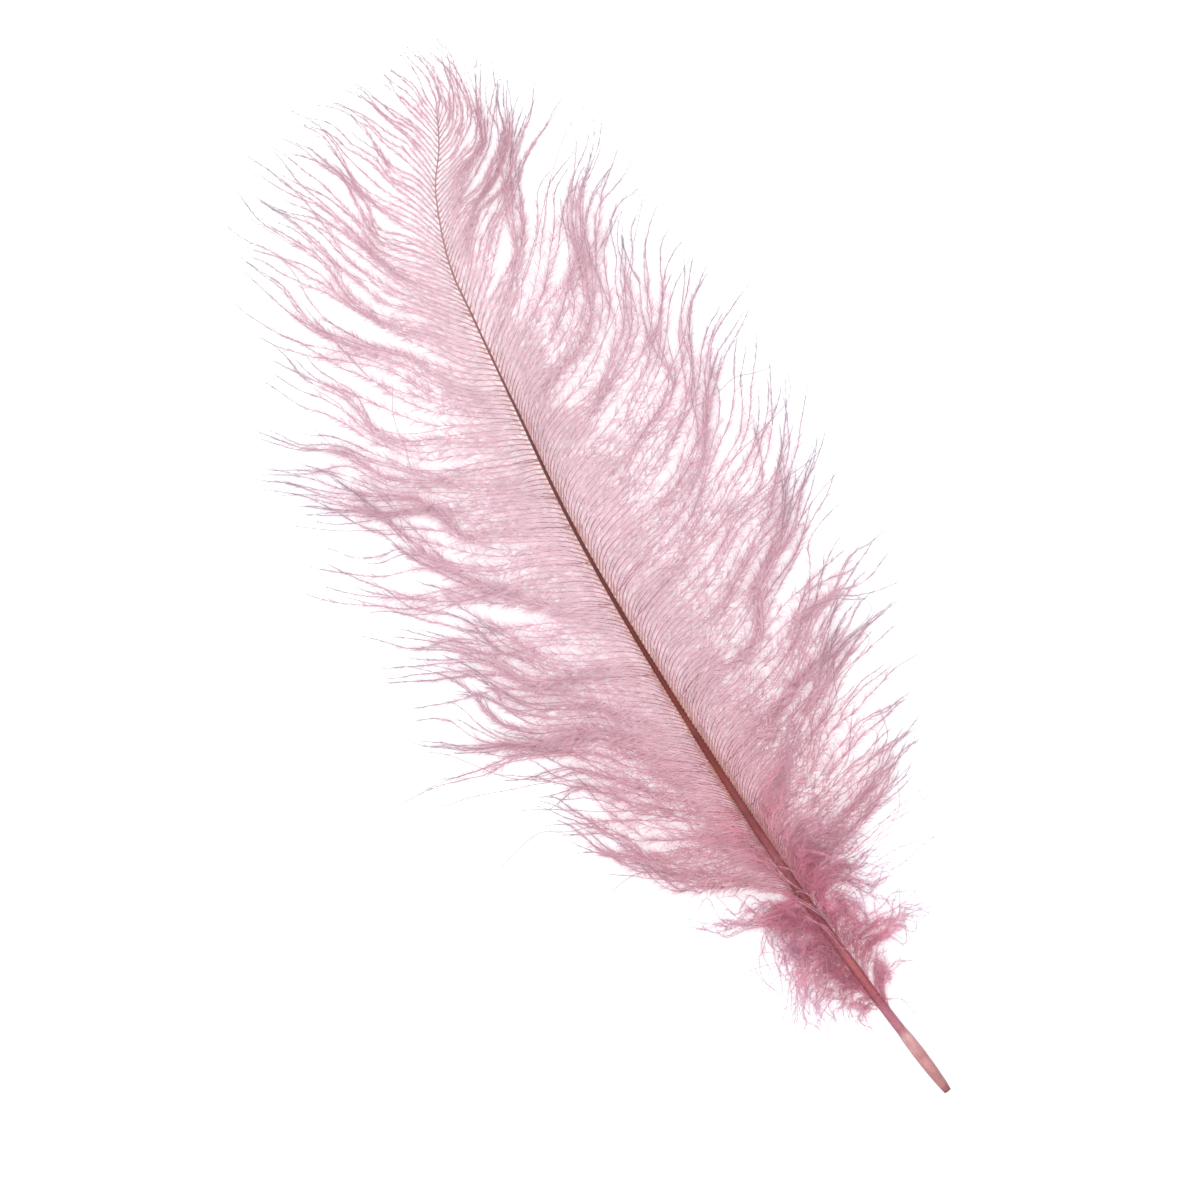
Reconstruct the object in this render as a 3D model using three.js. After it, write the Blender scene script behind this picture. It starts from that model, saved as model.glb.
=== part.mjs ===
// A dyed ostrich plume that lies flat with its concave side down.
// Millimetres, +Z up. The quill points along -Y and the plume's tip along +Y.
// The shaft is one tapered horn tube. The barbs on each side of it are one soft blanket, whose fringe
// follows the tips of the locks, and the downy barbs at the quill are two thicker tufts.
import * as THREE from 'three';
import { mergeVertices } from 'three/addons/utils/BufferGeometryUtils.js';

// ---- Driving dimensions, in millimetres from the end of the quill ----

// Middle line of the shaft: x, y, z.
const SHAFT_LINE = [
  [0, 0, 1.6],
  [-2.6, 15, 1.8],
  [-5.2, 30, 3.6],
  [-10, 62, 8.2],
  [-14, 100, 12],
  [-17, 140, 14],
  [-18, 170, 13.6],
  [-17, 200, 11.8],
  [-16, 225, 9.4],
  [-15, 240, 7.6],
  [-10, 257, 5.4],
  [-4, 267, 3.8],
  [0, 276, 2.4],
];

// Outside of the shaft: radius and distance along it. It starts inside the open end of the quill,
// swells to the barrel, steps in at the ring where the down begins, and tapers to a hair.
const SHAFT_PROFILE = [
  [0, 2.4],
  [0.6, 2.0],
  [0.65, 0.3],
  [0.95, 0],
  [1.25, 2.5],
  [1.5, 7],
  [1.6, 12],
  [1.5, 16.5],
  [1.28, 18.5],
  [1.22, 26],
  [1.3, 38],
  [1.24, 60],
  [1.15, 76],
  [0.98, 96],
  [0.9, 108],
  [0.75, 111],
  [0.68, 130],
  [0.52, 154],
  [0.42, 184],
  [0.3, 210],
  [0.24, 240],
  [0.16, 275],
];
const SHAFT_SIDES = 12;
const SHAFT_STEP = 5;

// Where barbs leave the shaft (y) and where their tips end (x, y), from the quill upwards.
const LEFT_BARBS = [
  [67, -45, 83],
  [80, -56, 100],
  [94, -68, 113],
  [108, -82, 126],
  [126, -80, 148],
  [142, -81, 166],
  [158, -84, 187],
  [174, -84, 207],
  [190, -79, 228],
  [206, -74, 243],
  [222, -65, 269],
  [238, -48, 286],
  [250, -30, 291],
  [262, -14, 293],
  [274.5, -2, 294],
];
const RIGHT_BARBS = [
  [67, 38, 71],
  [80, 39, 92],
  [92, 44, 110],
  [106, 49, 127],
  [122, 48, 148],
  [138, 50, 165],
  [154, 48, 186],
  [170, 48, 202],
  [186, 44, 220],
  [202, 38, 235],
  [218, 34, 252],
  [230, 37, 260],
  [242, 29, 275],
  [254, 18, 284],
  [264, 9, 289],
  [275, 1, 293],
];
const LEFT_DOWN = [
  [28, -9, 21],
  [33, -15, 27],
  [37, -21, 25],
  [43, -26, 38],
  [49, -30, 48],
  [55, -27, 58],
  [60, -36, 65],
  [64, -25, 67],
];
const RIGHT_DOWN = [
  [28, 2, 25],
  [33, 5, 35],
  [39, 15, 39],
  [45, 21, 45],
  [51, 12, 50],
  [57, 24, 56],
  [64, 32, 60],
];

// Angle between the shaft and a barb where it leaves the shaft, in degrees, from the quill's end of
// a blanket to its other end.
const LEFT_ANGLE = [72, 30];
const RIGHT_ANGLE = [62, 20];
const DOWN_ANGLE = [60, 60];

const VANE_LOBES = 12;
const VANE_NOTCH = 0.2;
const DOWN_LOBES = 4;
const DOWN_NOTCH = 0.22;

// Share of a barb's length at which it comes down to the table. The rest of it lies there.
const VANE_FLAT_FROM = 0.58;
const DOWN_FLAT_FROM = 0.4;

const VANE_ROOT_THICKNESS = 1.8;
const VANE_THICKNESS = 3;
const DOWN_ROOT_THICKNESS = 2;
const DOWN_THICKNESS = 12;
const FRINGE_THICKNESS = 0.8;

const GAP = 0.4;

const HORN = { color: 0x9a5a55, roughness: 0.35, metalness: 0 };
const BARBS = { color: 0xd9a3b0, roughness: 0.9, metalness: 0 };
const DOWN = { color: 0xc07890, roughness: 0.95, metalness: 0 };

// ---- Helpers ----

const shaft = new THREE.CatmullRomCurve3(SHAFT_LINE.map((p) => new THREE.Vector3(...p)));

// The point of the shaft's middle line at a given y, found by halving.
function shaftAt(y) {
  let low = 0;
  let high = 1;
  for (let turn = 0; turn < 30; turn += 1) {
    const middle = (low + high) / 2;
    if (shaft.getPoint(middle).y < y) {
      low = middle;
    } else {
      high = middle;
    }
  }
  return shaft.getPoint(low);
}

// The widest that the shaft is near a given y: the distance along it is a little more than y.
function shaftRadius(y) {
  const outside = SHAFT_PROFILE.slice(3);
  const next = Math.max(1, outside.findIndex((p) => p[1] > y));
  return outside[next - 1][0];
}

function bareGeometry(geometry) {
  geometry.deleteAttribute('normal');
  geometry.deleteAttribute('uv');
  return mergeVertices(geometry, 1e-5);
}

// Moves every vertex of a geometry to the place that a function gives for it.
function mapVertices(geometry, place) {
  const position = geometry.attributes.position;
  for (let i = 0; i < position.count; i += 1) {
    const moved = place(position.getX(i), position.getY(i), position.getZ(i));
    position.setXYZ(i, moved.x, moved.y, moved.z);
  }
  geometry.computeVertexNormals();
  return geometry;
}

function namedMesh(name, geometry, finish) {
  const mesh = new THREE.Mesh(geometry, new THREE.MeshStandardMaterial(finish));
  mesh.name = name;
  return mesh;
}

// ---- Shaft: a turned profile, bent along the shaft's middle line ----

// The profile with extra points, so that no stretch between two rings is long.
function fineProfile() {
  const points = [];
  SHAFT_PROFILE.forEach(([radius, along], i) => {
    const [lastRadius, lastAlong] = SHAFT_PROFILE[Math.max(0, i - 1)];
    const steps = Math.max(1, Math.ceil((along - lastAlong) / SHAFT_STEP));
    for (let k = 1; k <= steps; k += 1) {
      const share = k / steps;
      const r = THREE.MathUtils.lerp(lastRadius, radius, share);
      points.push(new THREE.Vector2(r, THREE.MathUtils.lerp(lastAlong, along, share)));
    }
  });
  points.push(new THREE.Vector2(0, shaft.getLength()));
  return points;
}

function makeShaft() {
  const turned = bareGeometry(new THREE.LatheGeometry(fineProfile(), SHAFT_SIDES));
  const length = shaft.getLength();
  const up = new THREE.Vector3(0, 0, 1);
  return mapVertices(turned, (x, y, z) => {
    const share = Math.min(1, y / length);
    const along = shaft.getTangentAt(share);
    const across = along.clone().cross(up).normalize();
    const over = across.clone().cross(along);
    return shaft.getPointAt(share).addScaledVector(across, x).addScaledVector(over, z);
  });
}

// ---- Barbs: a box with many cells, bent to run out along the barbs ----

// From 0 to 1 and back again once in each lobe.
function notchShare(share, lobes) {
  return 1 - Math.abs(2 * ((share * lobes) % 1) - 1);
}

// side is -1 on the left and 1 on the right. The box's X runs out along the barbs, its Y along
// the shaft, and its Z from the underside to the top.
function makeBlanket(side, barbs, angles, shape) {
  const tips = new THREE.CatmullRomCurve3(barbs.map((p) => new THREE.Vector3(...p)));
  const box = bareGeometry(new THREE.BoxGeometry(1, 1, 1, shape.outCells, shape.lobes * 4, 1));
  return mapVertices(box, (x, y, z) => {
    const share = y + 0.5;
    const fullReach = side < 0 ? 0.5 - x : x + 0.5;
    const reach = fullReach * (1 - shape.notch * notchShare(share, shape.lobes));
    const barb = tips.getPoint(share);
    const root = shaftAt(barb.x);
    root.x += side * (shaftRadius(barb.x) + GAP);
    const tip = new THREE.Vector3(barb.y, barb.z, 0);
    const half = Math.hypot(tip.x - root.x, tip.y - root.y) / 2;
    const angle = THREE.MathUtils.degToRad(THREE.MathUtils.lerp(...angles, share));
    const elbow = new THREE.Vector3(side * Math.sin(angle), Math.cos(angle), 0);
    elbow.multiplyScalar(half).add(root);
    const point = new THREE.QuadraticBezierCurve3(root, elbow, tip).getPoint(reach);
    const drop = 1 - THREE.MathUtils.smoothstep(reach, 0, shape.flatFrom);
    const underside = (root.z - shape.rootThickness / 2) * drop;
    point.z = underside + (z + 0.5) * shape.thickness(fullReach, share);
    return point;
  });
}

// Thin at the shaft, full over the barbs, and thin at the fringe.
function vaneThickness(reach) {
  const swell = THREE.MathUtils.smoothstep(reach, 0, 0.25);
  const full = THREE.MathUtils.lerp(VANE_ROOT_THICKNESS, VANE_THICKNESS, swell);
  return THREE.MathUtils.lerp(full, FRINGE_THICKNESS, THREE.MathUtils.smoothstep(reach, 0.5, 1));
}

// A dome that sinks towards the tuft's two ends and its fringe.
function downThickness(reach, share) {
  const dome = Math.sqrt(Math.sin(Math.PI * THREE.MathUtils.clamp(reach, 0, 1)));
  const ends = Math.sqrt(Math.sin(Math.PI * THREE.MathUtils.clamp(share, 0, 1)));
  const root = THREE.MathUtils.lerp(DOWN_ROOT_THICKNESS, FRINGE_THICKNESS, reach);
  return root + (DOWN_THICKNESS - DOWN_ROOT_THICKNESS) * dome * ends;
}

const vaneShape = {
  outCells: 9,
  lobes: VANE_LOBES,
  notch: VANE_NOTCH,
  flatFrom: VANE_FLAT_FROM,
  rootThickness: VANE_ROOT_THICKNESS,
  thickness: vaneThickness,
};
const downShape = {
  outCells: 8,
  lobes: DOWN_LOBES,
  notch: DOWN_NOTCH,
  flatFrom: DOWN_FLAT_FROM,
  rootThickness: DOWN_ROOT_THICKNESS,
  thickness: downThickness,
};

// ---- Assembly: the origin is under the middle of the feather, on the table ----

const feather = new THREE.Group();
feather.add(namedMesh('shaft', makeShaft(), HORN));
feather.add(namedMesh('vane_left', makeBlanket(-1, LEFT_BARBS, LEFT_ANGLE, vaneShape), BARBS));
feather.add(namedMesh('vane_right', makeBlanket(1, RIGHT_BARBS, RIGHT_ANGLE, vaneShape), BARBS));
feather.add(namedMesh('down_left', makeBlanket(-1, LEFT_DOWN, DOWN_ANGLE, downShape), DOWN));
feather.add(namedMesh('down_right', makeBlanket(1, RIGHT_DOWN, DOWN_ANGLE, downShape), DOWN));

const box = new THREE.Box3().setFromObject(feather);
feather.position.set(-(box.min.x + box.max.x) / 2, -(box.min.y + box.max.y) / 2, -box.min.z);
feather.updateMatrixWorld(true);

export default feather;
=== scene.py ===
"""A dusty pink ostrich plume that lies on a white table, seen from straight above.

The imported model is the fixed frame. The shaft gets its horn finish and fine shape, and every barb and
barbule of the two vanes and the two downy tufts is real mesh, in place of the closed blankets.
Places are in feather millimetres: the end of the quill is (0, 0), x runs to the right vane and y to
the tip, as in the model's own source, and they become metres in the frame's axes at the very end.
"""
import math

import bpy
import numpy as np
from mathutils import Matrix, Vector


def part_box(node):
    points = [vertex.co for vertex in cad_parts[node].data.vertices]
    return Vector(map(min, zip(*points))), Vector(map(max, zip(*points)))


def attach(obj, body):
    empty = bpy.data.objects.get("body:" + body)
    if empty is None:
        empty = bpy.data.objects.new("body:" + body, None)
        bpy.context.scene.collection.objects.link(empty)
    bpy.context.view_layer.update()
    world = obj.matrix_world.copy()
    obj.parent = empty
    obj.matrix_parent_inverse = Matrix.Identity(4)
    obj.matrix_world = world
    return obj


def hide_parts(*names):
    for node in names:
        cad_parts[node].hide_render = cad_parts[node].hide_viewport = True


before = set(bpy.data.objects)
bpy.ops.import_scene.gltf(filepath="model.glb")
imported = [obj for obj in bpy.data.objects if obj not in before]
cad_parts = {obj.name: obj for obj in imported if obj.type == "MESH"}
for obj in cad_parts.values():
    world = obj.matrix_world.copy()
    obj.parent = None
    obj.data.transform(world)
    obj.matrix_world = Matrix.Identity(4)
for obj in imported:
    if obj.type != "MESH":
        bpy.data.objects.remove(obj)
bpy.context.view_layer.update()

MM = 0.001
rng = np.random.default_rng(1176)

# ---------------------------------------------------------------- the frame

# The left vane's outermost tip is 84 mm left of the quill's end.
LEFTMOST = 84.0
SHIFT = np.array([
    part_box("vane_left")[0].x + LEFTMOST * MM,
    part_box("shaft")[0].y,
    0.0,
])

# The middle line of the shaft, as the model has it: x, y, z.
SHAFT_LINE = [
    (0, 0, 1.6), (-2.6, 15, 1.8), (-5.2, 30, 3.6), (-10, 62, 8.2), (-14, 100, 12),
    (-17, 140, 14), (-18, 170, 13.6), (-17, 200, 11.8), (-16, 225, 9.4), (-15, 240, 7.6),
    (-10, 257, 5.4), (-4, 267, 3.8), (0, 276, 2.4),
]
# Half the width of the shaft at a distance from the quill's end.
SHAFT_WIDTHS = [
    (0, 0.95), (2.5, 1.25), (7, 1.5), (12, 1.6), (16.5, 1.5), (18.5, 1.28), (26, 1.22),
    (38, 1.3), (60, 1.24), (76, 1.15), (96, 0.98), (108, 0.9), (111, 0.75), (130, 0.68),
    (154, 0.52), (184, 0.42), (210, 0.3), (240, 0.24), (276, 0.16),
]

# ---------------------------------------------------------------- locks of barbs

# Each lock: where its first and last barb leave the shaft (y), how firmly it holds its barbs together,
# from 0 to 1, and the places that its middle runs through to its tip: x out to its own side, and y.
LEFT_LOCKS = [
    (60, 66, 0.3, [(16, 65), (22, 69), (30, 74), (38, 81), (44, 90)]),
    (66, 72, 0.3, [(20, 73), (28, 76), (35, 80), (42, 85), (48, 91), (53, 98)]),
    (72, 79, 0.35, [(22, 79), (30, 82), (37, 86), (43, 91), (49, 96), (54, 103), (57, 109)]),
    (79, 85, 0.4, [(21, 85), (28, 91), (35, 96), (41, 100), (47, 105), (53, 109), (60, 114)]),
    (85, 92, 0.5, [(21, 92), (28, 99), (35, 105), (41, 110), (47, 114), (57, 118), (66, 124)]),
    (92, 101, 0.55, [(20, 99), (26, 106), (32, 113), (37, 118), (45, 121), (52, 124), (58, 128),
     (65, 130), (73, 134), (80, 138)]),
    (101, 108, 0.5, [(21, 107), (29, 115), (36, 121), (44, 124), (50, 126), (56, 131), (60, 136),
     (62, 142), (66, 147), (73, 152)]),
    (108, 117, 0.4, [(21, 113), (27, 118), (32, 125), (38, 129), (45, 132), (50, 135), (53, 139),
     (56, 144), (60, 149)]),
    (117, 126, 0.35, [(22, 125), (30, 131), (38, 135), (46, 138), (50, 143), (54, 148), (63, 154),
     (72, 158), (80, 161)]),
    (126, 134, 0.35, [(24, 131), (32, 135), (39, 140), (43, 146), (46, 152), (49, 159), (54, 165)]),
    (134, 141, 0.4, [(23, 140), (32, 146), (42, 150), (50, 152), (56, 156), (62, 160), (68, 164),
     (75, 170)]),
    (141, 150, 0.7, [(24, 147), (31, 152), (37, 158), (42, 163), (46, 168), (50, 174), (54, 182),
     (57, 188), (60, 196), (64, 206)]),
    (150, 157, 0.45, [(24, 155), (34, 160), (44, 163), (54, 166), (62, 169), (68, 173), (76, 178),
     (84, 186)]),
    (157, 164, 0.45, [(25, 163), (33, 167), (41, 170), (50, 176), (57, 181), (64, 184), (70, 190),
     (77, 197)]),
    (164, 172, 0.55, [(26, 170), (35, 175), (43, 179), (46, 186), (51, 193), (58, 198), (66, 205),
     (73, 213), (80, 219)]),
    (172, 180, 0.45, [(25, 177), (34, 181), (43, 185), (52, 188), (60, 191), (68, 196), (76, 201),
     (84, 205)]),
    (180, 190, 0.65, [(25, 184), (33, 188), (40, 192), (46, 195), (52, 199), (56, 203), (60, 209),
     (64, 213), (69, 216), (73, 220), (79, 226)]),
    (190, 197, 0.5, [(25, 194), (34, 199), (43, 203), (48, 207), (52, 213), (54, 220), (57, 226),
     (60, 231), (62, 237), (65, 245)]),
    (197, 201, 0.2, [(24, 200), (32, 206), (39, 212), (44, 218), (49, 226), (54, 234), (59, 243)]),
    (201, 205, 0.55, [(24, 204), (31, 210), (36, 216), (39, 222), (44, 228), (51, 234), (58, 239),
     (65, 244), (70, 251), (72, 258)]),
    (205, 213, 0.8, [(24, 209), (31, 217), (37, 224), (43, 230), (47, 236), (51, 242), (54, 248),
     (56, 255), (60, 265)]),
    (213, 221, 0.45, [(22, 218), (28, 226), (34, 233), (38, 239), (41, 245), (43, 252), (47, 260),
     (51, 267), (55, 273), (58, 280)]),
    (221, 228, 0.45, [(21, 226), (27, 233), (32, 240), (36, 248), (40, 256), (43, 264), (45, 270),
     (49, 276), (53, 281)]),
    (228, 237, 0.65, [(21, 235), (26, 241), (30, 248), (32, 255), (35, 262), (39, 269), (43, 275),
     (46, 282), (49, 287)]),
    (237, 245, 0.6, [(19, 243), (24, 248.5), (28, 254), (29, 260), (30, 267), (31, 275), (33, 282),
     (37, 288)]),
    (245, 252, 0.35, [(17, 251.5), (21, 257.5), (24, 263.5), (26, 270), (27, 277), (30, 285), (34, 290)]),
    (252, 258, 0.3, [(13.5, 259), (16.5, 265), (19, 272), (20, 279), (23, 286), (28, 290)]),
    (258, 263, 0.3, [(10, 265), (12.5, 271.5), (15, 278.5), (18, 285), (22, 291)]),
    (263, 267, 0.4, [(7, 269), (9, 275), (12, 281), (15, 286.5), (18, 291)]),
    (267, 270, 0.3, [(5, 273), (7, 279), (9, 285), (10, 291)]),
    (270, 273.5, 0.3, [(3, 276), (4, 282), (6, 288), (8, 293)]),
    (273.5, 276, 0.3, [(1, 280), (1, 286), (3, 293)]),
]
RIGHT_LOCKS = [
    (60, 66, 0.3, [(-5, 65), (3, 68), (12, 71), (20, 74), (29, 78)]),
    (66, 72, 0.3, [(-4, 70), (4, 72), (12, 74), (18, 76), (26, 79), (33, 84)]),
    (72, 78, 0.3, [(-3, 76), (5, 79), (13, 82), (21, 84), (29, 86), (37, 88)]),
    (78, 84, 0.5, [(-6, 82), (1, 86), (9, 90), (17, 95), (24, 99), (32, 103), (42, 106)]),
    (84, 92, 0.45, [(-6, 87), (0, 91), (6, 95), (12, 100), (18, 104), (24, 108), (29, 111), (34, 114),
     (40, 117), (48, 122)]),
    (92, 98, 0.25, [(-6, 96), (2, 100), (10, 104), (18, 108), (25, 112), (31, 117), (37, 120)]),
    (98, 107, 0.2, [(-6, 101), (1, 105), (8, 108), (15, 112), (20, 116), (25, 121), (30, 125), (35, 129),
     (40, 134), (47, 138)]),
    (107, 113, 0.15, [(-6, 111), (2, 115), (10, 118), (17, 122), (24, 125), (32, 127), (40, 126),
     (49, 128)]),
    (113, 120, 0.25, [(-7, 117), (0, 120), (7, 121), (11, 125), (15, 131), (21, 136), (27, 140),
     (33, 145), (38, 151), (42, 158)]),
    (120, 128, 0.12, [(-7, 123), (-1, 126), (5, 130), (11, 133), (16, 137), (22, 140), (29, 142),
     (34, 147), (40, 154), (45, 163)]),
    (128, 136, 0.12, [(-6, 133), (3, 137), (12, 141), (20, 145), (28, 149), (34, 154), (39, 159),
     (43, 165), (48, 174)]),
    (136, 143, 0.12, [(-6, 141), (3, 146), (12, 150), (20, 154), (27, 156), (32, 160), (37, 166),
     (41, 173), (45, 181)]),
    (143, 150, 0.15, [(-6, 147), (3, 151), (10, 155), (17, 160), (23, 166), (29, 171), (34, 175),
     (38, 180), (41, 186), (44, 193)]),
    (150, 157, 0.15, [(-6, 155), (3, 159), (10, 163), (17, 168), (22, 174), (26, 180), (30, 185),
     (34, 190), (39, 194), (46, 198)]),
    (157, 163, 0.3, [(-6, 161), (3, 165), (11, 169), (17, 174), (22, 178), (26, 184), (29, 191),
     (32, 198), (38, 204), (46, 210)]),
    (163, 171, 0.15, [(-6, 169), (2, 174), (9, 178), (16, 181), (22, 185), (26, 191), (28, 198),
     (31, 204), (35, 210), (38, 219)]),
    (171, 178, 0.2, [(-6, 177), (2, 182), (9, 187), (15, 190), (20, 194), (25, 200), (30, 207), (35, 211),
     (40, 214), (47, 215)]),
    (178, 184, 0.2, [(-7, 184), (0, 189), (7, 193), (14, 196), (19, 200), (23, 204), (26, 210), (28, 216),
     (32, 223), (38, 229)]),
    (184, 190, 0.3, [(-7, 190), (0, 193), (7, 197), (13, 201), (17, 205), (19, 211), (21, 217), (24, 222),
     (26, 228), (30, 232)]),
    (190, 194, 0.4, [(-8, 196), (-1, 200), (6, 204), (12, 209), (16, 215), (18, 221), (21, 227),
     (27, 231), (37, 235)]),
    (194, 203, 0.75, [(-9, 201), (-2, 205), (5, 209), (10, 214), (13, 221), (15, 229), (17, 236),
     (20, 242), (24, 247), (28, 252), (30, 256)]),
    (203, 210, 0.7, [(-9, 208), (-2, 213), (5, 218), (11, 223), (16, 228), (20, 234), (24, 240),
     (29, 245), (33, 250)]),
    (210, 217, 0.5, [(-9, 216), (-2, 222), (4, 228), (9, 234), (12, 240), (15, 246), (21, 250), (28, 253),
     (34, 254)]),
    (217, 225, 0.5, [(-9, 224), (-4, 229), (1, 234), (4, 240), (6, 246), (8, 252), (11, 258), (16, 264),
     (21, 269)]),
    (225, 231, 0.8, [(-10, 233), (-6, 238), (-2, 242), (3, 247), (8, 252), (14, 257), (21, 262),
     (29, 267)]),
    (231, 240, 0.85, [(-11, 239.5), (-6, 244.5), (-1, 249), (5, 253), (10, 256.5), (14, 261), (17, 267),
     (20, 275)]),
    (240, 247, 0.85, [(-9, 247.5), (-4, 250.5), (1, 253), (6, 256.5), (10, 260), (13, 265), (15, 270),
     (18, 277)]),
    (247, 254, 0.8, [(-7, 253), (-3, 256), (1, 259), (6, 262), (9, 266), (11, 270), (13, 275),
     (17, 283)]),
    (254, 260, 0.6, [(-5, 258.5), (-1, 260.5), (4, 262.5), (7, 266), (9, 271), (11, 277), (13, 283)]),
    (260, 265, 0.3, [(-2, 263.5), (2, 266), (6, 270.5), (8, 277), (8, 284), (6, 290)]),
    (265, 270, 0.3, [(0, 269), (3, 272.5), (5, 278), (6, 285), (4, 291)]),
    (270, 273.5, 0.3, [(2, 275), (3, 280), (3, 286), (1, 292)]),
    (273.5, 276, 0.3, [(1, 279), (1, 285), (-1, 293)]),
]

# Downy locks, from the bare quill upwards.
LEFT_DOWN = [
    (27, 30, 0.6, [(8, 28.5), (10, 28), (10.5, 25), (10, 21)]),
    (28, 32, 0.6, [(9, 32), (12, 32), (14, 30), (15, 26)]),
    (30, 35, 0.5, [(11, 35), (15, 34), (18, 31), (19, 26)]),
    (32, 38, 0.5, [(12, 38), (16, 38), (20, 34), (21.5, 28)]),
    (35, 41, 0.3, [(13, 42), (18, 42), (22, 38), (23, 32)]),
    (39, 45, 0.3, [(13, 47), (18, 47), (21, 43), (23, 38)]),
    (43, 48, 0.3, [(13, 50), (17, 52), (20, 50), (19, 47), (16.5, 47.5)]),
    (46, 51, 0.3, [(14, 54), (18, 57), (22, 55), (23.5, 50), (22, 44)]),
    (48, 53, 0.4, [(13, 52), (17, 48), (18, 43), (15, 40)]),
    (50, 55, 0.3, [(14, 57), (17, 60), (21, 61), (25, 62)]),
    (51, 56, 0.3, [(15, 56), (20, 57.5), (25, 60), (30, 63.5), (36, 67.5), (42, 71)]),
    (53, 58, 0.3, [(14, 60), (17, 58), (18, 54), (15, 50)]),
]
RIGHT_DOWN = [
    (27, 31, 0.5, [(-2, 30), (0.5, 33), (2.5, 35.5), (4, 37)]),
    (29, 34, 0.95, [(-2.5, 32), (-1, 34), (0, 32), (-0.5, 29)]),
    (36, 39, 0.8, [(-1, 39.5), (4, 41), (9, 41.5), (14, 42)]),
    (38, 42, 0.7, [(-1, 41), (5, 42.5), (10, 43.5), (15, 45), (20, 44.5)]),
    (41, 45, 0.5, [(-1, 45), (4, 46.5), (8, 46), (12, 44.5)]),
    (45, 50, 0.3, [(-4, 50), (-1, 50.5), (1, 48), (1, 45)]),
    (49, 54, 0.3, [(-4, 54), (-1, 55), (2, 53), (3, 51)]),
    (53, 58, 0.3, [(-4, 57), (-1, 58), (4, 57), (10, 56), (16, 56)]),
    (57, 62, 0.3, [(-5, 61), (-1, 62), (5, 61.5), (13, 62)]),
    (61, 64, 0.3, [(-5, 64), (-1, 66), (5, 68), (14, 70)]),
    (63, 68, 0.3, [(-6, 66), (-3, 69), (0, 70), (3, 68), (4, 65)]),
]

# Single barbs that leave their lock: where each leaves the shaft (y), and the places that it runs
# through, x out to its own side again.
LEFT_STRAYS = [
    (176, [(30, 183), (41, 188), (47, 196), (46, 205), (45, 213), (41, 221)]),
    (158, [(32, 164), (46, 170), (55, 177), (56, 185), (55, 193), (57, 201)]),
    (197, [(32, 203), (45, 208), (53, 216), (56, 223), (60, 230), (62, 239)]),
    (186, [(34, 192), (50, 201), (60, 211), (63, 217), (66, 225)]),
    (69, [(24, 74), (34, 79), (43, 83.5), (48, 83.5), (54, 82)]),
    (84, [(26, 90), (40, 97), (54, 101), (60, 104), (67, 103), (75, 100)]),
    (100, [(35, 113), (55, 122), (72, 126), (83, 127)]),
    (94, [(36, 107), (52, 114), (62, 117), (72, 120), (82, 121.5)]),
    (98, [(38, 110), (52, 115), (60, 119), (65, 124), (72, 132), (78, 136)]),
    (86, [(32, 96), (43, 101), (50, 105), (57, 109), (64, 112)]),
    (126, [(34, 134), (50, 143), (66, 150), (75, 154), (82, 157)]),
    (146, [(36, 156), (52, 164), (66, 170), (78, 180)]),
    (168, [(36, 176), (54, 186), (70, 194), (82, 202)]),
    (226, [(30, 240), (42, 254), (52, 270), (58, 281)]),
    (240, [(26, 252), (34, 268), (42, 284)]),
]
RIGHT_STRAYS = [
    (74, [(0, 76), (14, 80), (24, 83), (28, 86), (29, 93)]),
    (166, [(0, 176), (16, 180), (29, 181), (35, 182.5), (41, 181), (48, 180.5)]),
    (86, [(4, 93), (14, 96), (20, 99), (22, 104), (24, 108)]),
    (98, [(8, 106), (24, 111), (34, 113), (39, 116), (37, 120)]),
    (94, [(8, 101), (22, 104), (34, 108), (34, 112)]),
    (76, [(2, 80), (10, 82), (16, 85), (20, 91), (24, 97)]),
    (148, [(4, 157), (20, 163), (36, 168), (45, 172), (48, 180)]),
    (140, [(4, 148), (24, 153), (40, 155), (46, 157), (50, 162)]),
    (118, [(8, 128), (24, 138), (38, 146), (48, 150)]),
    (190, [(2, 200), (18, 212), (30, 226), (38, 236)]),
    (216, [(2, 230), (14, 244), (26, 256), (37, 261)]),
]
LEFT_DOWN_STRAYS = [
    (48, [(15, 50), (22, 51), (25, 52), (28, 50.5), (28.5, 47), (27, 43), (25.5, 41)]),
    (60, [(20, 61), (30, 63), (36, 67), (42, 72.5)]),
    (58, [(20, 60), (28, 62), (34, 64.5), (42, 67)]),
    (62, [(19, 60), (26, 62), (28, 67), (29, 72)]),
    (28, [(6.5, 27), (9, 29), (12, 31)]),
    (44, [(16, 46), (24, 49), (31, 50), (34, 48)]),
    (40, [(15, 42), (24, 45), (29, 43), (32, 47)]),
    (38, [(14, 39), (22, 38), (27, 38), (30, 39)]),
    (34, [(12, 33), (18, 29), (20.5, 25), (21, 23)]),
    (31, [(9, 30), (10, 26), (9.5, 22)]),
]
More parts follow.
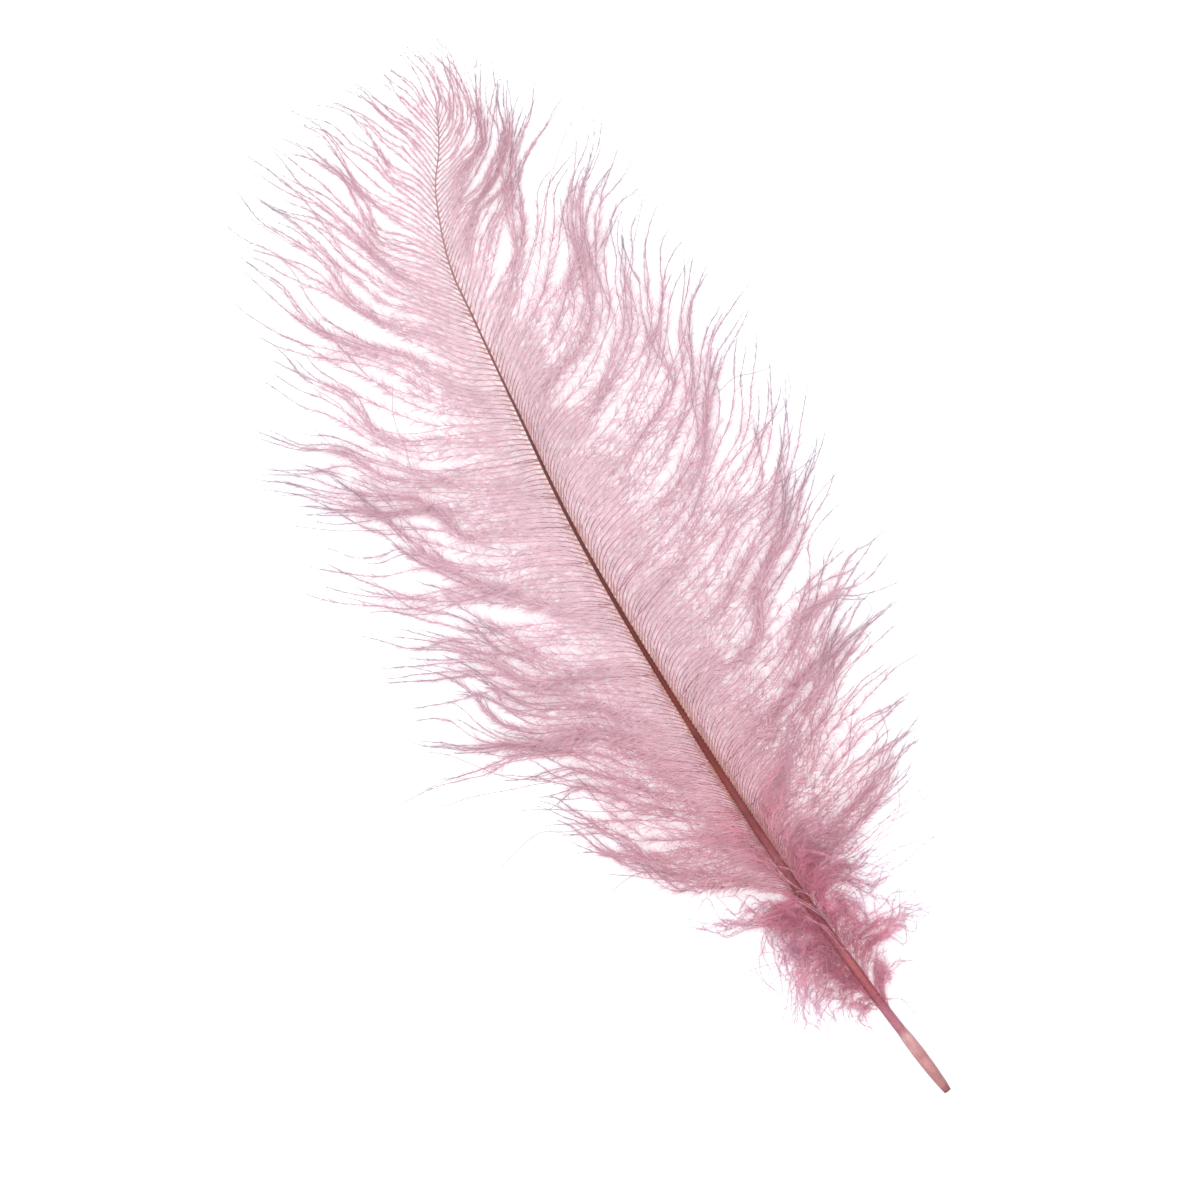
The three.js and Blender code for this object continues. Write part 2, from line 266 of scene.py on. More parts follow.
RIGHT_DOWN_STRAYS = [
    (62, [(-5, 63), (5, 64.5), (12, 66), (20, 68.5), (30, 70), (38, 70.5)]),
    (64, [(0, 66), (10, 67), (18, 68), (30, 68)]),
    (62, [(0, 64), (12, 65), (21, 68), (25, 76), (28, 80.5)]),
    (60, [(-2, 63), (4, 67), (3, 70), (5, 74), (6, 79)]),
    (61, [(-1, 63), (8, 65), (18, 66.5), (26, 66)]),
    (63, [(0, 66), (9, 68.5), (18, 71), (27, 72)]),
    (59, [(0, 61), (9, 62.5), (17, 64), (25, 64)]),
    (60, [(0, 63), (10, 63.5), (19, 65.5), (30, 67.5)]),
    (58, [(-1, 60), (6, 60.5), (13, 62.5), (19, 62)]),
    (57, [(0, 59), (10, 60), (20, 60), (27, 58), (32, 56)]),
    (55, [(0, 57), (8, 57), (16, 56), (24, 58), (33, 58.5)]),
    (52, [(0, 55), (7, 55), (14, 54)]),
    (47, [(4, 47.5), (12, 47), (20, 50)]),
    (44, [(3, 46.5), (12, 47), (21, 45.5)]),
    (42, [(4, 44), (12, 45.5), (17, 45), (20, 44)]),
    (40, [(5, 43), (13, 44), (16, 42), (16.5, 39.5)]),
    (28, [(-2, 27.5), (0.5, 26), (1.5, 22), (2.3, 20)]),
]
# Downy locks among the lowest barbs of each vane.
LEFT_SKIRT = [
    (62, 66, 0.6, [(15, 70), (18, 74), (21, 75.5), (24, 74.5), (27, 76)]),
    (68, 73, 0.6, [(17, 74), (20, 76), (25, 79), (32, 84)]),
    (75, 78, 0.6, [(18, 82), (22, 89), (25, 95), (29, 103)]),
    (84, 86, 0.6, [(20, 91), (24, 98), (28, 104), (33, 109)]),
]
RIGHT_SKIRT = [
    (63, 69, 0.6, [(-7, 69), (-2, 72), (3, 76), (8, 82)]),
    (73, 76, 0.6, [(-7, 80), (-3, 84), (1, 89), (7, 97)]),
    (81, 83, 0.6, [(-6, 86), (-1, 90), (5, 95), (12, 100)]),
]
# Strands of downy barbs that lie over the shaft and the tufts: the number of barbs in each, and the
# places that it runs through (x, y, z).
CROSSING_STRANDS = [
    ("down_left", 3, [(-14, 64, 8), (-11.5, 61, 10.6), (-9, 57, 10.8), (-6.5, 52, 9), (-3.5, 46, 6)]),
    ("down_left", 2, [(-13, 59, 8), (-10.5, 55, 10.2), (-8, 51, 9.8), (-6, 45, 7.4), (-5, 41, 6)]),
    ("down_left", 1, [(-15, 77, 9.8), (-12.5, 72, 11.8), (-11, 66, 11.4), (-7, 60, 9)]),
    ("down_left", 3, [(-22, 47, 6), (-20, 50.5, 8), (-18, 54, 8.6), (-16, 58, 7)]),
    ("down_left", 3, [(-13, 47, 8), (-17, 46.5, 9), (-19.5, 49, 9), (-18, 52, 8.6), (-15.5, 51, 8)]),
    ("down_left", 4, [(-12, 41, 7.5), (-14.5, 42, 8.6), (-17.5, 41, 8.2), (-20, 38, 6)]),
    ("down_left", 4, [(-16, 60, 8), (-19, 56, 9.8), (-20, 51, 10.4), (-18, 46, 10), (-15, 45, 9)]),
    ("down_left", 3, [(-12, 53, 9), (-15, 50, 10.4), (-18, 45, 10.2), (-17, 39, 9), (-14, 35, 7)]),
    ("down_left", 3, [(-11, 47, 8), (-13, 43, 9.8), (-16, 37, 9.2), (-19, 33, 7)]),
    ("down_right", 1, [(-7, 63, 8.6), (-9.5, 68, 11.2), (-13, 71, 11), (-18, 72, 8)]),
    ("down_right", 1, [(-6.5, 55, 8.4), (-8.5, 60, 10.6), (-11, 62.5, 10.4), (-15, 62, 8)]),
    ("down_right", 1, [(-4, 39, 4.6), (-6, 43, 7.6), (-8.5, 45, 7.4), (-11, 44, 5)]),
    ("down_right", 3, [(-6, 71, 11), (-2, 69, 11.6), (1.5, 65, 10.8), (1, 60, 9.4), (-2, 58, 9)]),
    ("down_right", 3, [(-4, 63, 10.4), (0, 60, 10.4), (3, 56, 9), (2.5, 51, 7.6)]),
    ("down_right", 2, [(1, 45, 8), (5, 46.5, 8.6), (9, 44.5, 8), (12, 41, 6)]),
]

# Width of the streaks, in millimetres along the shaft.
STREAK_WIDTH = 3.2
BARB_STEPS = 36
FIELD_STEPS = 60


# ---------------------------------------------------------------- small maths

def smooth_step(low, high, value):
    share = np.clip((value - low) / (high - low), 0, 1)
    return share * share * (3 - 2 * share)


def unit(vectors):
    return vectors / np.maximum(np.linalg.norm(vectors, axis=-1, keepdims=True), 1e-9)


def smooth_path(points, count):
    """Places spaced evenly along a smooth curve through the points."""
    points = np.asarray(points, float)
    ends = np.vstack([2 * points[0] - points[1], points, 2 * points[-1] - points[-2]])
    t = np.linspace(0, 1, 12, endpoint=False)[:, None]
    pieces = []
    for a, b, c, d in zip(ends, ends[1:], ends[2:], ends[3:]):
        bend = (2 * a - 5 * b + 4 * c - d) * t ** 2 + (3 * b - a - 3 * c + d) * t ** 3
        pieces.append(0.5 * (2 * b + (c - a) * t + bend))
    fine = np.vstack(pieces + [points[-1:]])
    along = np.r_[0, np.cumsum(np.linalg.norm(np.diff(fine, axis=0), axis=1))]
    even = np.linspace(0, along[-1], count)
    return np.column_stack([np.interp(even, along, axis) for axis in fine.T])


def table_at(table, value):
    """A value read from a table of (place, value) pairs. A single pair holds everywhere."""
    return np.interp(value, *np.transpose(table))


def path_lengths(paths):
    return np.linalg.norm(np.diff(paths, axis=1), axis=2).sum(axis=1)


def along_paths(paths, where):
    """The places at given shares along evenly spaced paths, one row of shares per path."""
    spot = where * (paths.shape[1] - 1)
    before = np.clip(spot.astype(int), 0, paths.shape[1] - 2)
    rest = (spot - before)[..., None]
    row = np.arange(len(paths))[:, None]
    return paths[row, before] * (1 - rest) + paths[row, before + 1] * rest


SHAFT = smooth_path(SHAFT_LINE, 600)


def shaft_at(y):
    """The middle of the shaft, x and z, where it passes a given y."""
    return np.interp(y, SHAFT[:, 1], SHAFT[:, 0]), np.interp(y, SHAFT[:, 1], SHAFT[:, 2])


def shaft_half_width(y):
    return table_at(SHAFT_WIDTHS, y)


def flank_at(side, y):
    """Where a barb leaves the shaft: its x."""
    return shaft_at(y)[0] + side * shaft_half_width(y) * 0.8


def line_from(side, root, places, count):
    """A smooth line from the shaft's flank at root (y) through places whose x is out to the side."""
    return smooth_path([(flank_at(side, root), root), *((side * x, y) for x, y in places)], count)


def waves(count, steps, turns):
    """A smooth random curve per row, about -1 to 1, with a given number of turns over its length."""
    share = np.linspace(0, 1, steps)
    total = np.zeros((count, steps))
    for octave in (1.0, 1.9):
        phase = rng.uniform(0, 2 * math.pi, (count, 1))
        rate = turns * octave * rng.uniform(0.7, 1.3, (count, 1))
        total += np.sin(2 * math.pi * rate * share + phase) / octave
    return total / 1.5


# ---------------------------------------------------------------- barbs

# How barbs grow, in millimetres, where a table goes by where the barb leaves the shaft (y).
# pitch, jitter: their spacing along the shaft. gather: between which shares of its length a lock closes.
# slack: how far it comes loose again. waist, fan: its width, and that of its tips. drift, wander, wave,
# crinkle: how the barbs snake. lie, layer, landing, lift: how high they lie and how they come down.
VANE = {
    "pitch": [(60, 0.85), (100, 1.0), (135, 1.3), (165, 1.45), (195, 1.35), (222, 1.5), (276, 1.2)],
    "jitter": 0.06, "gather": (0.1, 0.5), "hold_spread": 0.22, "slack": 0.9,
    "waist": 0.8, "fan": 4.6, "bend": [(60, 1.6), (220, 1.6), (245, 0.8), (276, 0.6)],
    "flyaway": [(60, 0.3), (110, 0.15), (160, 0.08), (220, 0.06), (245, 0.02)],
    "uneven": 0.13, "drift": 1.2,
    "wander": 0.5, "wave": 40, "crinkle_wave": 8, "unruly": 0.3, "calm_below": 60,
    "crinkle": [(60, 0.35), (80, 0.18), (105, 0.08), (130, 0.04), (276, 0.03)],
    "tangled": [(60, 4.0), (80, 2.8), (105, 2.0), (150, 1.0), (240, 0.8), (276, 0.5)],
    "lie": (0.8, 3.4), "layer": 0.6, "landing": 0.62, "lift": 1.2,
}
DOWN = {
    "pitch": [(0, 0.5)],
    "jitter": 0.3, "gather": (0.1, 0.7), "hold_spread": 0.3, "slack": 0.5,
    "waist": 1.6, "fan": 6, "bend": [(0, 2.0)], "flyaway": [(0, 0.1)],
    "uneven": 0.25, "drift": 1.3, "wander": 1.8, "wave": 14, "crinkle_wave": 5, "unruly": 0.6,
    "calm_below": 1, "crinkle": [(0, 0.18)], "tangled": [(0, 1)],
    "lie": (1.2, 7.5), "layer": 1.8, "landing": 0.8, "lift": 3.5,
}
SKIRT = {**DOWN, "pitch": [(0, 0.7)], "fan": 4, "wander": 1.2}
# How far a barb runs along the shaft before it turns out, by where it leaves the shaft (y).
HOOKS = {
    -1: [(60, 2.2), (130, 1.6), (200, 0.8), (276, 0.5)],
    1: [(60, 3.4), (170, 3.8), (195, 2.4), (210, 0.8), (276, 0.3)],
}
HOOK_REACH = 2.0
HOOK_FADE = 22
# How much further than the others a flyaway barb bends.
FLYAWAY_BEND = 4
# The ends of the barbs, as shares of their lock's length.
SHORTEST, LONGEST = 0.5, 1.03
# The lowest that the middle of a barb, the middle of a barbule and a barbule's tip get over the table.
LOWEST_BARB, LOWEST_BARBULE, LOWEST_TIP = 0.35, 0.12, 0.08
# How far below its lock's line a barb leaves the shaft, where the barbs run more along the shaft.
ROOT_SLIPS = {
    -1: [(60, 0.5), (90, 2.0), (185, 2.0), (210, 3.0), (250, 3.0), (258, 1.5), (276, 0.0)],
    1: [(60, 2.5), (90, 5.0), (180, 5.5), (205, 4.8), (221, 4.0), (228, 1.2), (235, 0.0)],
}


def lock_lines(side, locks):
    """The locks' middle lines, as an array of locks, places along each, and x, y."""
    lines = []
    for low, high, _, places in locks:
        middle = (low + high) / 2
        root = middle - table_at(ROOT_SLIPS[side], middle)
        lines.append(line_from(side, root, places, FIELD_STEPS))
    return np.array(lines)


def raised(side, flat, roots, where, style):
    """Gives level barbs their heights: down from the shaft's flank to the table, in loose layers."""
    count, steps = flat.shape[:2]
    shares = np.linspace(0, 1, steps)
    root_z = shaft_at(roots)[1] + shaft_half_width(roots) * 0.35
    layer = np.sin(roots * 0.9 + side) * 0.5 + 0.5
    lie = style["lie"][0] + (style["lie"][1] - style["lie"][0]) * layer
    lie = np.maximum(lie + rng.normal(0, style["layer"], count), 0.5)
    drop = smooth_step(0.0, style["landing"], where)
    height = root_z[:, None] * (1 - drop) + lie[:, None] * drop
    lift = style["lift"] * rng.uniform(0.5, 1.2, (count, 1))
    height += lift * np.sin(math.pi * np.clip(where * 1.6, 0, 1))
    turns = np.maximum(1, path_lengths(flat) / style["wave"])[:, None]
    height += waves(count, steps, turns) * style["wander"] * 0.8 * shares
    return np.dstack([flat, np.maximum(height, LOWEST_BARB)])


def drifts(roots, share):
    """Sideways wander that neighbours share, which makes fine streaks: one row per barb."""
    low, high = roots.min(), roots.max()
    rows, columns = int((high - low) / STREAK_WIDTH) + 2, 7
    knots = rng.normal(0, 1, (rows, columns))
    across = np.array([np.interp(share, np.linspace(0, 1, columns), row) for row in knots])
    spot = (roots - low) / (high - low + 1e-6) * (rows - 1)
    below = np.clip(spot.astype(int), 0, rows - 2)
    part = smooth_step(0, 1, spot - below)[:, None]
    return across[below] * (1 - part) + across[below + 1] * part


def pulled_in(side, lines, lock, rank, roots, firm, style):
    """A barb starts between its lock's line and the next one's, and the lock pulls it in."""
    share = np.linspace(0, 1, FIELD_STEPS)
    gathered = smooth_step(*style["gather"], share)
    loosened = style["slack"] * (1.1 - firm) * smooth_step(0.55, 1, share)
    place = lock[:, None] + rank[:, None] / 2 * (1 - firm * gathered * (1 - loosened))
    place = np.clip(place, 0, len(lines) - 1.001)
    below = place.astype(int)
    part = (place - below)[..., None]
    column = np.arange(FIELD_STEPS)
    flat = lines[below, column] * (1 - part) + lines[below + 1, column] * part
    start = np.column_stack([flank_at(side, roots), roots])
    flat += (start - flat[:, 0])[:, None] * (1 - smooth_step(0, 0.35, share))[:, None]
    return flat


def spread_out(flat, rank, roots, firm, style):
    """How far each barb stands to its tip's side: side by side in the lock, and fanned at the tips."""
    count, length = len(rank), path_lengths(flat)
    share = np.linspace(0, 1, FIELD_STEPS)
    tip_side = 0.7 * rank + rng.normal(0, 0.5, count)
    beside = rank[:, None] * style["waist"] * smooth_step(*style["gather"], share)
    fan = (tip_side * style["fan"] * length / 60)[:, None] * (1.5 - 0.9 * firm)
    beside = beside + fan * smooth_step(0.4, 1.1, share)
    flyaway = np.where(rng.uniform(size=count) < table_at(style["flyaway"], roots), FLYAWAY_BEND, 1)
    bend = rng.normal(0, 1, count) * table_at(style["bend"], roots) * flyaway
    beside = beside + bend[:, None] * share ** 2.5
    streak = style["drift"] * smooth_step(0.05, 0.4, share) * (1 - 0.5 * smooth_step(0.6, 1, share))
    calm = np.minimum(1, length / style["calm_below"]) ** 1.5
    return beside + drifts(roots, share) * streak * calm[:, None]


def lock_barbs(side, locks, style):
    """The barbs of one side, as an array of barbs, places along each, and x, y, z, and their roots' y."""
    lows, highs, holds = np.array([row[:3] for row in locks]).T
    sizes = (highs - lows) / table_at(style["pitch"], (lows + highs) / 2)
    ends = np.cumsum(sizes)
    number = np.arange(int(ends[-1])) + 0.5
    lock = np.searchsorted(ends, number)
    rank = (number - (ends - sizes)[lock]) / sizes[lock] * 2 - 1
    count = len(rank)
    rank += rng.normal(0, style["jitter"], count) / sizes[lock]
    roots = ((lows + highs) / 2)[lock] + rank * ((highs - lows) / 2)[lock]
    roots -= table_at(ROOT_SLIPS[side], roots)
    firm = np.clip(rng.normal(holds[lock], style["hold_spread"]), 0, 1)[:, None]
    flat = pulled_in(side, lock_lines(side, locks), lock, rank, roots, firm, style)
    ahead = unit(np.gradient(flat, axis=1))
    across = np.dstack([-ahead[..., 1], ahead[..., 0]]) * side
    length = path_lengths(flat)
    flat += across * spread_out(flat, rank, roots, firm, style)[..., None]
    distance = np.linspace(0, 1, FIELD_STEPS) * length[:, None]
    hook = (1 - np.exp(-distance / HOOK_REACH)) * (1 - smooth_step(0, HOOK_FADE, distance))
    flat[..., 1] += hook * table_at(HOOKS[side], roots)[:, None]

    # Each barb ends at its own place, the outer ones of a lock sooner.
    reach = LONGEST - np.abs(rng.normal(0, style["uneven"], count)) - 0.05 * rank ** 2
    steps = np.linspace(0, 1, BARB_STEPS)
    where = np.clip(reach, SHORTEST, LONGEST)[:, None] * steps
    flat, across = along_paths(flat, where), along_paths(across, where)
    wander = waves(count, BARB_STEPS, np.maximum(1, length / style["wave"])[:, None])
    wander *= (table_at(style["tangled"], roots) * np.exp(rng.normal(0, style["unruly"], count)))[:, None]
    crinkle = waves(count, BARB_STEPS, (length / style["crinkle_wave"])[:, None])
    crinkle *= table_at(style["crinkle"], roots)[:, None]
    crinkle *= smooth_step(0, 0.2, steps) * (1 - 0.7 * smooth_step(0.6, 1, steps))
    flat += across * (wander * style["wander"] * steps ** 1.3 + crinkle)[..., None]
    return raised(side, flat, roots, where, style), roots


def stray_barbs(side, strays, style):
    roots = np.array([root for root, _ in strays], float)
    flat = np.array([line_from(side, root, places, BARB_STEPS) for root, places in strays])
    where = np.tile(np.linspace(0, 1, BARB_STEPS), (len(strays), 1))
    return raised(side, flat, roots, where, style), roots


def crossing_barbs(node):
    """The barbs of the strands that lie over the shaft and the tufts, each a little apart."""
    strands = [
        points for owner, barbs, points in CROSSING_STRANDS if owner == node for _ in range(barbs)
    ]
    paths = np.array([smooth_path(points, BARB_STEPS) for points in strands])
    share = np.linspace(0, 1, BARB_STEPS)
    for axis in (0, 1):
        apart = rng.normal(0, 0.3, (len(strands), 1)) + rng.normal(0, 1.0, (len(strands), 1)) * share ** 2
        paths[..., axis] += apart
    return paths, np.array([points[0][1] for points in strands], float)


def joined(*sets):
    """Several sets of barbs and their roots as one."""
    return tuple(np.concatenate(parts) for parts in zip(*sets))


def sideways(paths):
    """Per place: the way ahead, level across it, and up from both."""
    ahead = unit(np.gradient(paths, axis=-2))
    level = unit(np.cross(ahead, [0.0, 0.0, 1.0]))
    return ahead, level, np.cross(level, ahead)


# ---------------------------------------------------------------- meshes from arrays

def mesh_object(name, places, corners, sizes, uvs, material):
    """One mesh from places in feather millimetres, the faces' corners, their sizes and their UVs."""
    mesh = bpy.data.meshes.new(name)
    mesh.vertices.add(len(places))
    mesh.vertices.foreach_set("co", (places * MM + SHIFT).astype(np.float32).ravel())
    mesh.loops.add(len(corners))
    mesh.loops.foreach_set("vertex_index", corners.astype(np.int32))
    mesh.polygons.add(len(sizes))
    starts = np.r_[0, np.cumsum(sizes)[:-1]]
    mesh.polygons.foreach_set("loop_start", starts.astype(np.int32))
    mesh.uv_layers.new(name="OFBake").data.foreach_set("uv", uvs.astype(np.float32).ravel())
    mesh.materials.append(material)
    mesh.update(calc_edges=True)
    mesh.validate()
    mesh.shade_smooth()
    item = bpy.data.objects.new(name, mesh)
    bpy.context.scene.collection.objects.link(item)
    return item


UV_STRIP = 0.03
# How far the barbules of a clump stand apart along the barb, by the share of the barb, and how much
# looser they get towards the plume's tip (y).
CLUMP_SPREAD = [(0, 0.4), (0.1, 0.3), (0.25, 0.2), (0.45, 0.4), (0.65, 1.0), (1, 1.2)]
CLUMP_LOOSENESS = [(200, 1), (240, 4), (276, 5)]
# How much of their lean the barbules keep towards the plume's tip (y), where they cling to the barb.
CLING = [(200, 1), (240, 0.6), (276, 0.45)]
# Their number, length and lean by the share of the barb that they stand at, and their crowding and
# lushness by where the barb leaves the shaft (y).
VANE_BARBULES = {
    "pitch": 0.11, "clump": 4,
    "kept": [(0, 1), (0.1, 0.9), (0.25, 0.5), (0.5, 0.48), (0.75, 0.55), (0.9, 0.42), (1, 0.15)],
    "crowd": [(60, 0.58), (80, 0.76), (105, 0.93), (140, 1.0), (190, 1.0), (225, 0.9), (276, 0.85)],
    "length": 4.4, "lush": [(60, 1.15), (120, 1.0), (200, 0.95), (235, 0.75), (276, 0.5)],
    "fade": [(0, 1), (0.4, 1), (0.7, 0.85), (0.9, 0.6), (1, 0.3)], "first": 0.8,
    "lean": [(0, 0.7), (0.04, 0.35), (0.1, 0.35), (0.3, 0.6), (0.5, 0.6), (0.75, 0.48), (1, 0.15)],
    "lean_spread": 0.25, "roll": [(0, 0.15), (0.15, 0.25), (0.4, 0.45), (1, 0.45)],
    "tilt": [(0, -0.5), (0.15, -0.4), (0.4, -0.1), (1, 0)], "curl": 0.05,
    "tangle": [(60, 0.45), (90, 0.25), (130, 0.16), (276, 0.14)],
    "width": [(0, 0.14), (0.1, 0.12), (0.22, 0.105), (0.6, 0.085), (1, 0.05)],
}
DOWN_BARBULES = {
    "pitch": 0.12, "clump": 3, "kept": [(0, 0.2), (0.2, 0.85), (0.6, 0.65), (0.8, 0.45), (1, 0.3)],
    "crowd": [(24, 0.6), (34, 0.8), (40, 1), (70, 1)],
    "length": 3.6, "lush": [(0, 1)],
    "fade": [(0, 1), (0.6, 0.85), (0.9, 0.5), (1, 0.3)], "first": 0.8,
    "lean": [(0, 0.8), (1, 0.4)], "lean_spread": 0.6,
    "roll": [(0, 1.2)], "tilt": [(0, 0)], "curl": 0.2, "tangle": [(0, 0.6)],
    "width": [(0, 0.05), (1, 0.045)],
}
SKIRT_BARBULES = {
    **DOWN_BARBULES,
    "kept": [(0, 0.1), (0.2, 0.5), (0.35, 1), (0.8, 0.7), (1, 0.3)],
    "lean": [(0, 0.5), (1, 0.3)],
}
WISP_BARBULES = {
    **VANE_BARBULES,
    "pitch": 0.3, "clump": 1, "length": 2.4, "fade": [(0, 0.8), (0.5, 0.6), (1, 0.3)],
    "lean": [(0, 0.3), (1, 0.2)],
}
VANE_RADII = [
    (0, 0.28), (0.028, 0.14), (0.1, 0.115), (0.25, 0.08), (0.8, 0.07), (0.95, 0.06), (1, 0.03),
]
# How thick the barbs are by where they leave the shaft (y).
GIRTH = [(60, 1.1), (150, 1.0), (210, 0.85), (240, 0.65), (276, 0.6)]
DOWN_RADII = [(0, 0.08), (0.5, 0.055), (0.9, 0.045), (1, 0.02)]


def strips(roots):
    """Where each barb's strip of colour lies across the colour map: the quill's end first."""
    low, high = roots.min(), roots.max()
    return (roots - low) / (high - low) * (1 - UV_STRIP)


def rami(name, barbs, radii, material):
    """Three-sided tapering tubes along the barbs."""
    paths, roots = barbs
    count, steps = paths.shape[:2]
    _, level, up = sideways(paths)
    share = np.linspace(0, 1, steps)
    radius = table_at(radii, share)
    turn = np.array([0.5, 1.1667, 1.8333]) * math.pi
    ring = level[..., None, :] * np.cos(turn)[:, None] + up[..., None, :] * np.sin(turn)[:, None]
    radius = radius * table_at(GIRTH, roots)[:, None]
    places = paths[..., None, :] + ring * radius[..., None, None]
    first = (np.arange(count) * steps * 3)[:, None, None] + (np.arange(steps - 1) * 3)[:, None]
    side = np.arange(3)
    after = (side + 1) % 3
    quads = np.stack([first + side, first + after, first + after + 3, first + side + 3], axis=-1)
    u0, u1 = share[:-1, None], share[1:, None]
    v0 = strips(roots)[:, None, None] + UV_STRIP * side / 3
    v1 = v0 + UV_STRIP / 3
    uvs = np.stack([
        np.stack(np.broadcast_arrays(u, v), -1) for u, v in ((u0, v0), (u0, v1), (u1, v1), (u1, v0))
    ], axis=-2)
    caps = (np.arange(count) * steps * 3)[:, None]
    ends = np.concatenate([caps + [2, 1, 0], caps + (steps - 1) * 3 + [0, 1, 2]], axis=0)
    end_uv = np.array([[0.0, 0.0], [0.02, 0.0], [0.0, 0.02]])
    corners = np.r_[quads.reshape(-1), ends.reshape(-1)]
    sizes = np.r_[np.full(quads.size // 4, 4), np.full(len(ends), 3)]
    all_uvs = np.r_[uvs.reshape(-1, 2), np.tile(end_uv, (len(ends), 1))]
    return mesh_object(name, places.reshape(-1, 3), corners, sizes, all_uvs, material)


def clumps(paths, roots, style):
    """Where the clumps of barbules stand: which barb, the share along it, the side, the roll around it,
    the lean away from it, how far they stray, and their strip of colour."""
    numbers = path_lengths(paths) * 2 / style["pitch"] * table_at(style["crowd"], roots) / style["clump"]
    numbers = numbers.astype(int)
    owner = np.repeat(np.arange(len(paths)), numbers)
    order = np.arange(len(owner)) - np.repeat(np.cumsum(numbers) - numbers, numbers)
    share = (order + rng.uniform(0, 1, len(owner))) / numbers[owner]
    kept = rng.uniform(0, 1, len(owner)) < table_at(style["kept"], share)
    owner, share = owner[kept], share[kept]
    side = np.where(order[kept] % 2, 1.0, -1.0)
    roll = rng.normal(table_at(style["tilt"], share), table_at(style["roll"], share))
    lean = rng.normal(table_at(style["lean"], share), style["lean_spread"])
    lean *= table_at(CLING, roots[owner])
    astray = rng.normal(0, 1, (len(owner), 3)) * table_at(style["tangle"], roots[owner])[:, None]
    strip = strips(roots)[owner] + rng.normal(0, 0.02, len(owner))
    return owner, share, side, roll, lean, astray, strip


def barbules(name, barbs, style, material):
    """Two-part pointed ribbons on both sides of every barb. Those of a clump cling together."""
    paths, roots = barbs
    steps = paths.shape[1]
    ahead, level, up = sideways(paths)
    lengths = path_lengths(paths)
    owner, share, side, roll, lean, astray, strip = (
        np.repeat(part, style["clump"], axis=0) for part in clumps(paths, roots, style)
    )
    number = len(owner)
    apart = rng.normal(0, 1, number) * table_at(CLUMP_SPREAD, share)
    apart *= table_at(CLUMP_LOOSENESS, roots[owner]) / lengths[owner]
    share = np.clip(share + apart, 0, 1)
    lean = lean + rng.normal(0, 1, number) * (0.07 + 0.2 * share)
    roll = roll + rng.normal(0, 1, number) * (0.1 + 0.5 * share)
    spot = share * (steps - 1)
    before = np.minimum(spot.astype(int), steps - 2)
    rest = (spot - before)[:, None]

    def at(field):
        return field[owner, before] * (1 - rest) + field[owner, before + 1] * rest

    base, ahead, level, up = at(paths), unit(at(ahead)), unit(at(level)), unit(at(up))
    distance = share * lengths[owner]
    out = level * (side * np.cos(roll))[:, None] + up * np.sin(roll)[:, None]
    go = ahead * np.cos(lean)[:, None] + out * np.sin(lean)[:, None]
    grown = style["first"] + (1 - style["first"]) * smooth_step(0, 5, distance)
    length = style["length"] * grown * table_at(style["fade"], share)
    length *= table_at(style["lush"], roots[owner]) * rng.uniform(0.55, 1.25, number)
    bend = unit(go + ahead * style["curl"] + astray)
    middle = base + go * (length * 0.5)[:, None]
    tip = middle + bend * (length * 0.5)[:, None]
    middle[:, 2] = np.maximum(middle[:, 2], LOWEST_BARBULE)
    tip[:, 2] = np.maximum(tip[:, 2], LOWEST_TIP)
    face = unit(up + rng.normal(0, 0.6, (number, 3)))
    width = table_at(style["width"], share) * rng.uniform(0.7, 1.3, number)
    wide = unit(np.cross(go, face)) * width[:, None] / 2
    places = np.stack([base - wide, base + wide, middle - wide * 0.8, middle + wide * 0.8, tip], 1)
    corner = np.arange(number)[:, None] * 5 + np.array([0, 1, 3, 2, 2, 3, 4])
    u = np.clip(share, 0, 0.95)[:, None] + np.array([0, 0, 0.02, 0.02, 0.02, 0.02, 0.04])
    v = np.clip(strip, 0, 1 - UV_STRIP)[:, None] + UV_STRIP * np.array([0, 1, 1, 0, 0, 1, 0.5])
    sizes = np.tile([4, 3], number)
    uvs = np.stack([u, v], -1).reshape(-1, 2)
    return mesh_object(name, places.reshape(-1, 3), corner.reshape(-1), sizes, uvs, material)


# ---------------------------------------------------------------- materials

def linear(red, green, blue):
    """A colour as it looks on a screen, 0 to 255, in the renderer's own linear values."""
    shown = np.array([red, green, blue]) / 255
    return tuple(np.where(shown <= 0.04045, shown / 12.92, ((shown + 0.055) / 1.055) ** 2.4))


def new_material(name):
    material = bpy.data.materials.new(name)
    material.use_nodes = True
    nodes, links = material.node_tree.nodes, material.node_tree.links
    uv = nodes.new("ShaderNodeUVMap")
    uv.uv_map = "OFBake"
    return material, nodes, links, uv.outputs["UV"]


def set_inputs(node, values):
    for socket, value in values.items():
        node.inputs[socket].default_value = value


def color_ramp(nodes, stops):
    ramp = nodes.new("ShaderNodeValToRGB")
    elements = ramp.color_ramp.elements
    while len(elements) < len(stops):
        elements.new(0.5)
    for element, (place, *color) in zip(elements, stops):
        element.position = place
        element.color = (*linear(*color), 1)
    return ramp


def noise_range(nodes, links, vector, stretch, low, high):
    """A smooth noise over a stretched vector, from low to high where the noise itself is 0.3 to 0.7."""
    spread = nodes.new("ShaderNodeVectorMath")
    spread.operation = "MULTIPLY"
    spread.inputs[1].default_value = stretch
    links.new(vector, spread.inputs[0])
    noise = nodes.new("ShaderNodeTexNoise")
    set_inputs(noise, {"Scale": 1, "Detail": 2})
    links.new(spread.outputs[0], noise.inputs["Vector"])
    fit = nodes.new("ShaderNodeMapRange")
    set_inputs(fit, {"From Min": 0.3, "From Max": 0.7, "To Min": low, "To Max": high})
    links.new(noise.outputs[0], fit.inputs["Value"])
    return fit.outputs[0]


